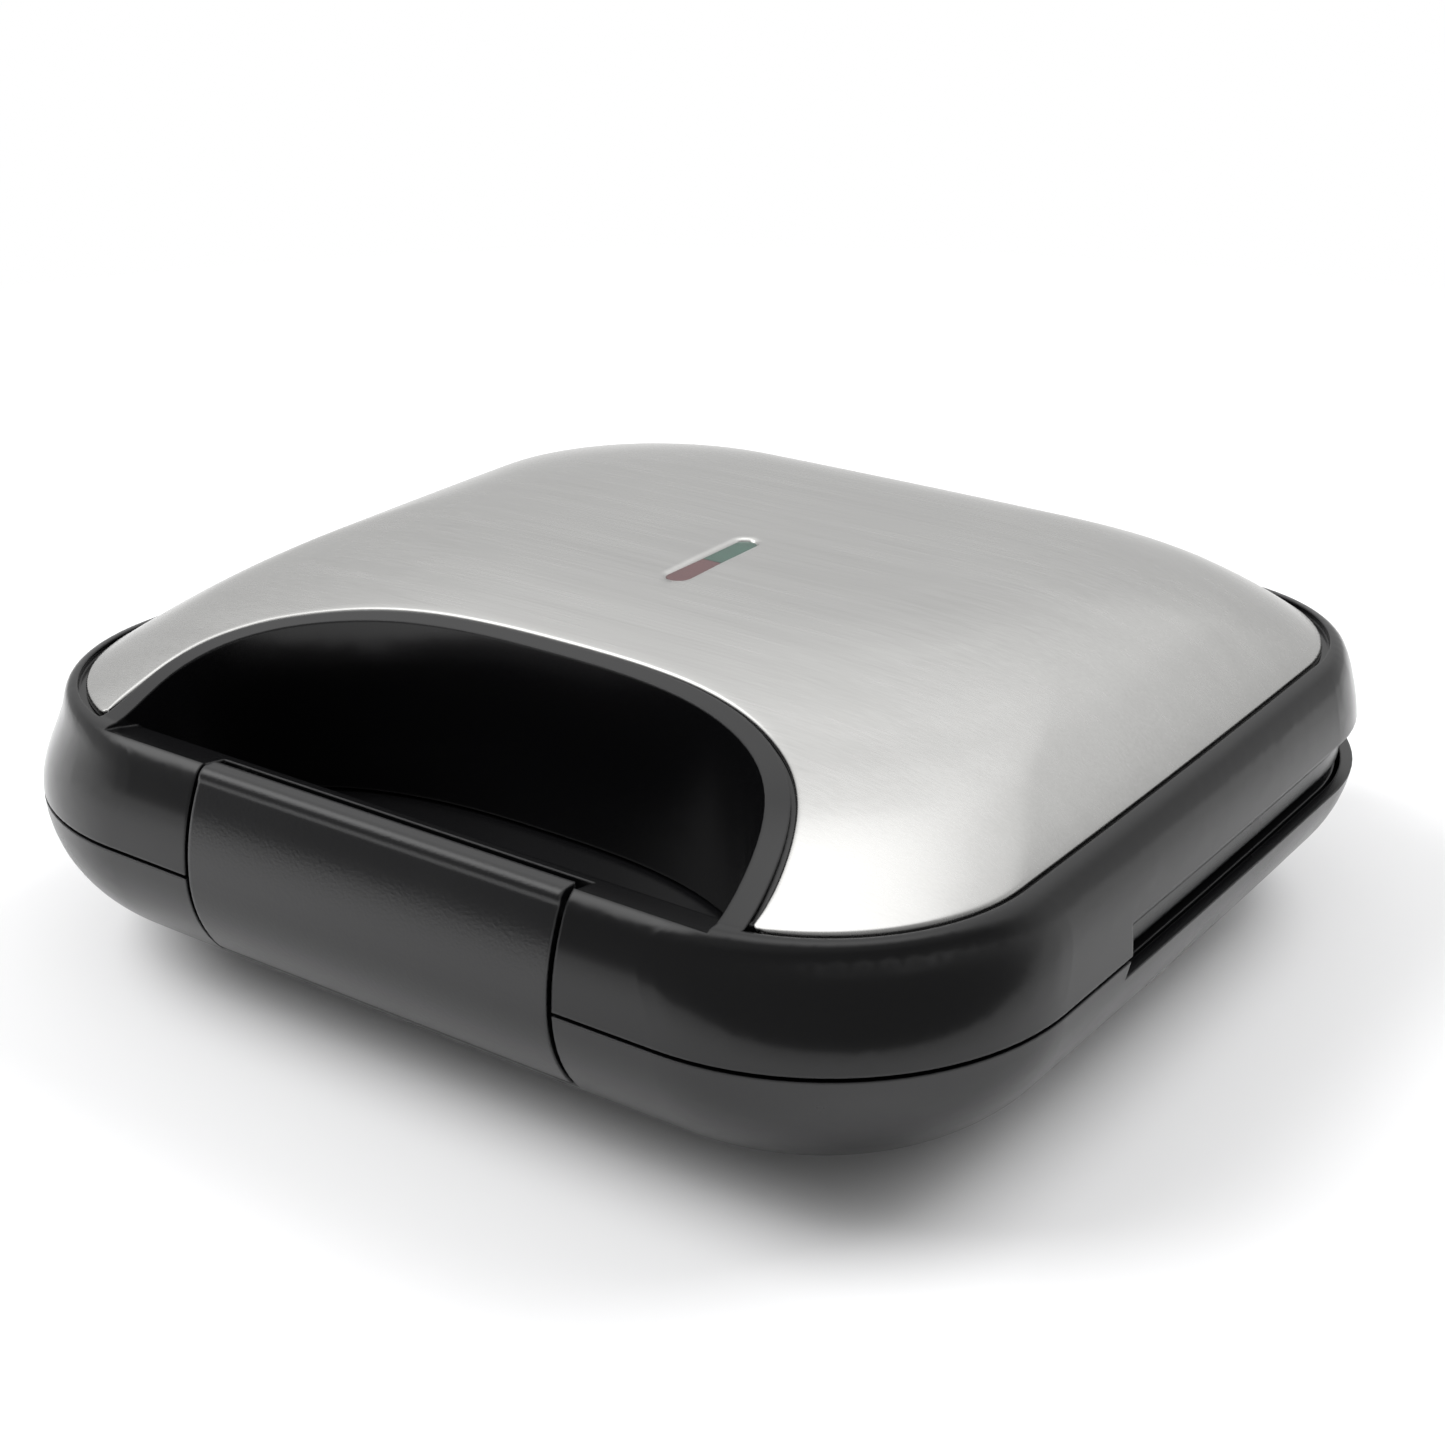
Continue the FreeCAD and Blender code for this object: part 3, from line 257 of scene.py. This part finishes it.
bright_sheet = brushed("bright sheet", (0.66, 0.66, 0.67), (0.78, 0.78, 0.79), 0.26, 0.00001,
                       across=900.0)
element_steel = brushed("heat tinted steel", (0.26, 0.22, 0.18), (0.42, 0.38, 0.33), 0.36, 0.00001,
                        across=700.0)
screw_steel = brushed("zinc plated steel", (0.50, 0.50, 0.51), (0.66, 0.66, 0.66), 0.30, 0.00001,
                      across=1500.0)
sleeve = moulded("woven sleeve", (0.55, 0.52, 0.42), 0.7, 0.1, 0.0001, fine=1600.0,
                 rubbed=(0.6, 0.57, 0.48))
wire_skin = moulded("silicone wire", (0.56, 0.53, 0.46), 0.5, 0.1, 0.00002, rubbed=(0.6, 0.57, 0.5))
dress(bright_sheet, "upper_reflector", "lower_reflector")
dress(element_steel, "upper_heating_element", "lower_heating_element", "thermostat")
dress(screw_steel, "upper_plate_screws", "lower_plate_screws", "upper_reflector_screws",
      "lower_reflector_screws", "terminal_screws", "cord_clamp_screws", "lamp_holder_screws",
      "latch_pins", "hinge_pin_left", "hinge_pin_right")
dress(sleeve, "upper_thermal_fuse", "lower_thermal_fuse")
dress(wire_skin, "upper_leads", "lower_leads")


# ---- label ---------------------------------------------------------------------------------------
# A blank silver foil plate, brushed and printed with nothing.
# It is glued under the middle of the base.
foil = brushed("blank foil", (0.60, 0.60, 0.60), (0.66, 0.66, 0.66), 0.42, 0.000004, across=600.0)
dress(foil, "rating_label")


# ---- lid moulding --------------------------------------------------------------------------------
# Gloss black moulded plastic: the bulging band, the handle bar and the hand recess in one piece.
# The steel cover sits in the groove round its top.
gloss_black = moulded("gloss black moulding", (0.0025, 0.0025, 0.0028), 0.13, 0.05, 0.000002, fine=260.0,
                      slow=12.0, radius=0.0007, rubbed=(0.02, 0.02, 0.021), IOR=1.48)
dress(gloss_black, "upper_housing")


# ---- latch ---------------------------------------------------------------------------------------
# A satin black grip clipped over the bar, with a fine leathery texture from its mould.
# It turns on two steel pins in the ends of the bar.
latch_black = moulded("latch texture", (0.004, 0.004, 0.0045), 0.20, 0.06, 0.00003, fine=1500.0,
                      radius=0.0009, IOR=1.55)
dress(latch_black, "latch")


# ---- steel cover ---------------------------------------------------------------------------------
# Pressed from 0.8 mm stainless sheet and brushed from side to side.  Its edge is turned down into the
# groove of the moulding, a rounded notch clears the hand recess, and a pressed slot shows the lamps.
MM = 0.001
BODY_WIDTH, BODY_DEPTH = 230.0, 218.5
FRONT_Y, PARTING_Z = -113.9, 34.0
SEAM_H, CROWN_H = 20.8, 40.5
BOW_FRONT, BOW_SIDE, BOW_REAR = 0.9, 1.2, 2.0
NOTCH_HALF, NOTCH_DEPTH, NOTCH_POWER = 76.5, 61.0, 2.66
SLOT_FRONT, SLOT_REAR, SLOT_R = 94.95, 122.75, 2.2
SHEET_THICK = 0.8
EDGE_ROLL, SLOT_ROLL = 0.9, 1.5
TIP_ROUND = 1.8
# share of the rise, insets from the front, sides and rear, front and rear corner radii
PRESS_FORM = np.array([(0.0, 9.6, 9.6, 9.6, 40.4, 35.4), (0.17, 16.0, 13.0, 12.6, 42.0, 37.0),
                       (0.47, 27.0, 20.5, 19.8, 45.0, 38.0), (0.62, 37.0, 25.0, 24.4, 48.0, 40.0),
                       (0.72, 47.0, 29.2, 28.6, 50.0, 42.0), (0.84, 60.0, 36.2, 35.4, 50.0, 43.0),
                       (0.93, 75.0, 45.0, 44.0, 46.0, 42.0), (0.98, 90.0, 56.0, 54.0, 36.0, 34.0),
                       (1.0, 108.0, 70.0, 67.0, 18.0, 18.0)])


def bow_radius(half_span, bow):
    return (half_span ** 2 + bow ** 2) / (2 * bow)


def outside(x, y, front, side, rear, r_front, r_rear):
    """How far points lie outside a rounded outline with bowed edges (negative inside)."""
    x1, y0, y1 = BODY_WIDTH / 2 - side, front, BODY_DEPTH - rear
    r = np.minimum(np.where(y < (y0 + y1) / 2, r_front, r_rear), 0.45 * (y1 - y0))
    big_side = bow_radius((y1 - y0) / 2, BOW_SIDE)
    big_front, big_rear = bow_radius(x1, BOW_FRONT), bow_radius(x1, BOW_REAR)
    beside = np.hypot(np.abs(x) - x1 + big_side, y - (y0 + y1) / 2) - big_side
    ahead = np.hypot(x, y - y0 - big_front) - big_front
    behind = np.hypot(x, y - y1 + big_rear) - big_rear
    ends = np.maximum(ahead, behind)
    rounded = np.hypot(np.maximum(beside + r, 0.0), np.maximum(ends + r, 0.0)) - r
    return np.where((beside > -r) & (ends > -r), rounded, np.maximum(beside, ends))


def smooth_line(xs, ys, x):
    """Cubic through given points that never overshoots them."""
    gap, rise = np.diff(xs), np.diff(ys) / np.diff(xs)
    mean = 2 * rise[:-1] * rise[1:] / (rise[:-1] + rise[1:] + 1e-12)
    slope = np.concatenate([rise[:1], mean, rise[-1:]])
    slope[1:-1][rise[:-1] * rise[1:] <= 0] = 0.0
    i = np.clip(np.searchsorted(xs, x, side="right") - 1, 0, len(xs) - 2)
    t = (x - xs[i]) / gap[i]
    return ((1 + 2 * t) * (1 - t) ** 2 * ys[i] + t * (1 - t) ** 2 * gap[i] * slope[i]
            + t * t * (3 - 2 * t) * ys[i + 1] + t * t * (t - 1) * gap[i] * slope[i + 1])


def press_height(x, y):
    """Height of the pressed surface over the parting plane, found by halving."""
    low, high = np.zeros(np.shape(x)), np.ones(np.shape(x))
    for _ in range(24):
        mid = (low + high) / 2
        form = [smooth_line(PRESS_FORM[:, 0], column, mid) for column in PRESS_FORM[:, 1:].T]
        out = outside(x, y, *form) > 0
        low, high = np.where(out, low, mid), np.where(out, mid, high)
    return SEAM_H + (CROWN_H - SEAM_H) * low


def even_steps(line, count_at):
    """Points at given lengths along a dense polyline."""
    length = np.concatenate([[0.0], np.cumsum(np.hypot(*np.diff(line, axis=0).T))])
    return np.stack([np.interp(count_at * length[-1], length, line[:, k]) for k in (0, 1)], -1)


def cover_lines():
    """Right half of the notch edge and of the outer edge, both from the tip to the middle."""
    t = np.linspace(0.0, math.pi / 2, 2000)
    notch = np.stack([NOTCH_HALF * np.cos(t) ** (2 / NOTCH_POWER),
                      NOTCH_DEPTH * np.sin(t) ** (2 / NOTCH_POWER)], -1)
    # the outer edge is walked by angle from a point well inside, halving on the distance
    turn = np.linspace(-math.pi / 2, math.pi / 2, 6000)
    near, far = np.zeros_like(turn), np.full_like(turn, 200.0)
    mid_y = BODY_DEPTH / 2
    for _ in range(40):
        mid = (near + far) / 2
        out = outside(mid * np.cos(turn), mid_y + mid * np.sin(turn), *PRESS_FORM[0, 1:]) > 0
        near, far = np.where(out, near, mid), np.where(out, mid, far)
    outer = np.stack([near * np.cos(turn), mid_y + near * np.sin(turn)], -1)
    across, along = outer[:, 0] / NOTCH_HALF, outer[:, 1] / NOTCH_DEPTH
    in_notch = (np.abs(across) ** NOTCH_POWER + along ** NOTCH_POWER) < 1
    outer = outer[np.argmax(~in_notch & (outer[:, 0] > 60)):]
    tip = outer[0]
    notch = notch[notch[:, 1] > tip[1]]
    return np.vstack([tip, notch]), outer, tip


def cover_grid():
    """Right half of the cover as rows and columns of (x, y, h), its edges rolled down."""
    notch, outer, tip = cover_lines()
    share = np.linspace(0.0, 1.0, 130) ** 1.15
    beside_slot = np.array([0.0, 0.0006, 0.0016, 0.003, 0.005, 0.0075, 0.0105, 0.0145, 0.0195, 0.026])
    share = np.sort(np.concatenate([share[share < 0.968], 1.0 - beside_slot]))
    skip = [TIP_ROUND / np.hypot(*np.diff(line, axis=0).T).sum() for line in (notch, outer)]
    inner_end = even_steps(notch, skip[0] + (1 - skip[0]) * share)
    outer_end = even_steps(outer, skip[1] + (1 - skip[1]) * share)
    # levels along the middle line: close together where the slot ends
    close = np.array([-1.3, -0.9, -0.6, -0.35, -0.15, 0.0, 0.08, 0.25, 0.5, 0.85, 1.3, 1.9, 2.5])
    front_y, rear_y = notch[-1, 1], outer[-1, 1]
    levels = np.concatenate([np.arange(front_y + 2, SLOT_FRONT - 2, 2.0), SLOT_FRONT + close,
                             np.arange(SLOT_FRONT + 4, SLOT_REAR - 3.5, 1.7), SLOT_REAR - close[::-1],
                             np.arange(SLOT_REAR + 3, rear_y - 2, 2.2)])
    levels = (levels - front_y) / (rear_y - front_y)
    turns = np.radians([0.0, 15.0, 32.0, 50.0, 70.0, 90.0])
    span = np.hypot(*(outer_end - inner_end).T)
    roll = np.minimum(EDGE_ROLL, 0.3 * span)[:, None]
    e_in = roll * (1 - np.cos(turns)) / span[:, None]
    first, last = e_in[:, -1:], 1 - e_in[:, -1:]
    v = np.hstack([e_in, first + (last - first) * levels, 1 - e_in[:, ::-1]])
    bend = np.exp(-(share * 105.0) / 1.6)[:, None, None]
    middle = (inner_end + outer_end)[:, None, :] / 2
    control = middle + (tip - middle) * bend
    v3 = v[:, :, None]
    flat = ((1 - v3) ** 2 * inner_end[:, None] + 2 * v3 * (1 - v3) * control
            + v3 ** 2 * outer_end[:, None])
    x, y = flat[..., 0], flat[..., 1]
    # the slot pushes the columns beside the middle line apart
    mid, straight = (SLOT_FRONT + SLOT_REAR) / 2, (SLOT_REAR - SLOT_FRONT) / 2 - SLOT_R
    past = np.maximum(np.abs(y - mid) - straight, 0.0)
    half_slot = np.sqrt(np.maximum(SLOT_R ** 2 - past ** 2, 0.0))
    x = x + half_slot * np.maximum(1 - x / 22.0, 0.0)
    h = press_height(x, y)
    down = 1 - np.sin(turns)
    h[:, :len(turns)] -= roll * down
    h[:, -len(turns):] -= roll * down[::-1]
    from_slot = np.clip(np.hypot(x, past) - SLOT_R, 0.0, SLOT_ROLL)
    h -= (SLOT_ROLL - np.sqrt(SLOT_ROLL ** 2 - (SLOT_ROLL - from_slot) ** 2))
    # the outer edge goes on straight down into the groove
    x, y = [np.hstack([grid, grid[:, -1:]]) for grid in (x, y)]
    h = np.hstack([h, np.minimum(h[:, -1:], SEAM_H - 1.2)])
    return x, y, h


def sheet_of(name, x, y, h, thickness):
    """Closed sheet from the right half grid, mirrored and welded on the middle line."""
    build = bmesh.new()
    for side in (1, -1):
        points = np.stack([side * x, y + FRONT_Y, h + PARTING_Z], -1) * MM
        made = [[build.verts.new(p) for p in column] for column in points]
        for a, b in zip(made, made[1:]):
            for k in range(len(a) - 1):
                loop = (a[k], b[k], b[k + 1], a[k + 1])
                build.faces.new(loop if side < 0 else loop[::-1])
    bmesh.ops.remove_doubles(build, verts=build.verts, dist=0.000004)
    bmesh.ops.recalc_face_normals(build, faces=build.faces)
    if sum(face.normal.z for face in build.faces) < 0:
        bmesh.ops.reverse_faces(build, faces=build.faces)
    mesh = bpy.data.meshes.new(name)
    build.to_mesh(mesh)
    build.free()
    uv = mesh.uv_layers.new(name="brushing")
    spots = np.array([mesh.vertices[loop.vertex_index].co[:2] for loop in mesh.loops])
    uv.data.foreach_set("uv", (spots[:, ::-1] * 4.0 + 0.5).ravel())
    mesh.polygons.foreach_set("use_smooth", [True] * len(mesh.polygons))
    piece = bpy.data.objects.new(name, mesh)
    bpy.context.scene.collection.objects.link(piece)
    if thickness:
        thick = piece.modifiers.new("sheet", "SOLIDIFY")
        thick.thickness, thick.offset = thickness * MM, -1.0
    return piece


steel = brushed("brushed steel", (0.572, 0.569, 0.557), (0.630, 0.627, 0.615), 0.26, 0.0000004,
                along=24.0, across=2200.0, Anisotropic=0.5)
steel_tree = steel.node_tree
grain_way = add(steel_tree, "Tangent", direction_type="UV_MAP", uv_map="brushing")
steel_tree.links.new(grain_way.outputs[0], steel_tree.nodes["Principled BSDF"].inputs["Tangent"])
cover = sheet_of("cover_skin", *cover_grid(), SHEET_THICK)
cover.data.materials.append(steel)
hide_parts("steel_cover")
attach(cover, "lid")


# ---- indicator -----------------------------------------------------------------------------------
# Two halves of one window in the cover: red while heating, green when hot; neon lamps stand below.
def tinted(name, colour):
    """Clear coloured moulding, slightly uneven in tone and gloss."""
    material, tree, shader = finish(name, Transmission_Weight=0.35, IOR=1.5, Coat_Weight=0.4)
    skin = place_group(tree, grain, Fine=900.0, Slow=120.0)
    brighter = tuple(c * 1.5 for c in colour)
    tone = mixed(tree, spread(tree, skin.outputs["Mottle"], 0.3, 0.7, 0.0, 1.0), colour, brighter)
    dull = spread(tree, skin.outputs["Height"], 0.3, 0.7, 0.12, 0.22)
    tree.links.new(tone, shader.inputs["Base Color"])
    tree.links.new(dull, shader.inputs["Roughness"])
    return material


dress(tinted("red lens", (0.070, 0.012, 0.014)), "indicator_lens_red")
dress(tinted("green lens", (0.006, 0.055, 0.035)), "indicator_lens_green")
dress(tinted("lamp glass", (0.75, 0.68, 0.58)), "indicator_lamps")


# ---- table, light and camera ---------------------------------------------------------------------
# A white table that fades into the light round it, and a pale wall behind that grows brighter
# overhead; the room in front is darker.  A soft box at each side gives the shadow under the body.
TABLE_HALF = 4.0
FADE_START, FADE_END = 0.20, 0.62
AWAY = (-0.574, 0.819, 0.0)
UP = (0.0, 0.0, 1.0)
OVERHEAD, LEFT_ABOVE = (-0.05, 0.06, 0.99), (-0.62, -0.31, 0.72)
SOFT_LIGHT = 0.48
BOX_SIZE, BOX_TARGET = 1.0, Vector((0.0, 0.0, 0.05))
table_mesh = bpy.data.meshes.new("table_top")
corners = [(-1, -1), (1, -1), (1, 1), (-1, 1)]
table_mesh.from_pydata([(x * TABLE_HALF, y * TABLE_HALF, 0.0) for x, y in corners], [], [(0, 1, 2, 3)])
table = bpy.data.objects.new("table_top", table_mesh)
bpy.context.scene.collection.objects.link(table)
paper, tree, shader = finish("white paper", Base_Color=(0.88, 0.88, 0.885), Roughness=0.75)
where = add(tree, "TexCoord").outputs["Object"]
far = add(tree, "VectorMath", [(0, where)], operation="LENGTH").outputs["Value"]
glow = add(tree, "Emission", [("Color", (1.0, 1.0, 1.0, 1.0)), ("Strength", 1.0)])
faded = spread(tree, far, FADE_START, FADE_END, 0.0, 1.0)
fade = add(tree, "MixShader", [(0, faded), (1, shader.outputs[0]), (2, glow.outputs[0])])
tree.links.new(fade.outputs[0], tree.nodes["Material Output"].inputs["Surface"])
table_mesh.materials.append(paper)

CAMERA_RIGHT = Vector((0.81823, 0.57488, 0.00277))
CAMERA_UP = Vector((-0.23018, 0.32320, 0.91791))
CAMERA_BACK = Vector((0.52680, -0.75170, 0.39678))
CAMERA_PLACE = Vector((0.2758, -0.3949, 0.2443))
CAMERA_LENS = 61.73

world = bpy.data.worlds.new("studio")
bpy.context.scene.world = world
world.use_nodes = True
tree = world.node_tree
background = tree.nodes["Background"]
way = add(tree, "TexCoord").outputs["Generated"]


def toward(direction, low, high, dim, bright):
    """Light that grows from dim to bright as a ray turns towards a direction."""
    dot = add(tree, "VectorMath", [(0, way), (1, direction)], operation="DOT_PRODUCT").outputs["Value"]
    return spread(tree, dot, low, high, dim, bright)


path = add(tree, "LightPath").outputs
wall = toward(AWAY, -0.25, 0.12, 0.22, 0.65)
rise = calc(tree, "ADD", toward(UP, 0.38, 0.62, 1.0, 1.55), toward(UP, 0.62, 1.0, 0.0, 0.40))
patches = calc(tree, "ADD", toward(OVERHEAD, 0.84, 0.99, 0.0, 0.80),
               toward(LEFT_ABOVE, 0.93, 0.99, 0.0, 1.9))
mirrored = calc(tree, "ADD", calc(tree, "MULTIPLY", wall, rise), patches)
soft = add(tree, "Mix", [("Factor", path["Is Diffuse Ray"]), ("A", mirrored), ("B", SOFT_LIGHT)])
seen = add(tree, "Mix", [("Factor", path["Is Camera Ray"]), ("A", soft.outputs[0]), ("B", 1.0)])
tree.links.new(seen.outputs[0], background.inputs["Strength"])
background.inputs["Color"].default_value = (1.0, 1.0, 1.0, 1.0)


def soft_box(name, place_at, watts):
    """Square soft light aimed at the press, left out of its reflections."""
    light = bpy.data.lights.new(name, "AREA")
    light.shape, light.size, light.energy = "SQUARE", BOX_SIZE, watts
    lamp = bpy.data.objects.new(name, light)
    lamp.location = place_at
    lamp.rotation_mode = "QUATERNION"
    lamp.rotation_quaternion = (BOX_TARGET - Vector(place_at)).to_track_quat("-Z", "Y")
    lamp.visible_glossy = False
    bpy.context.scene.collection.objects.link(lamp)


soft_box("left_box", (-0.95, -0.50, 1.0), 21.0)
soft_box("right_box", (0.45, 1.0, 0.95), 18.0)

camera_data = bpy.data.cameras.new("camera")
camera_data.sensor_width, camera_data.lens = 36.0, CAMERA_LENS
camera_data.clip_start, camera_data.clip_end = 0.01, 50.0
camera = bpy.data.objects.new("camera", camera_data)
bpy.context.scene.collection.objects.link(camera)
turned = Matrix((CAMERA_RIGHT, CAMERA_UP, CAMERA_BACK)).transposed().to_4x4()
camera.matrix_world = Matrix.Translation(CAMERA_PLACE) @ turned
bpy.context.scene.camera = camera
bpy.context.scene.view_settings.view_transform = "Standard"

bpy.context.view_layer.update()
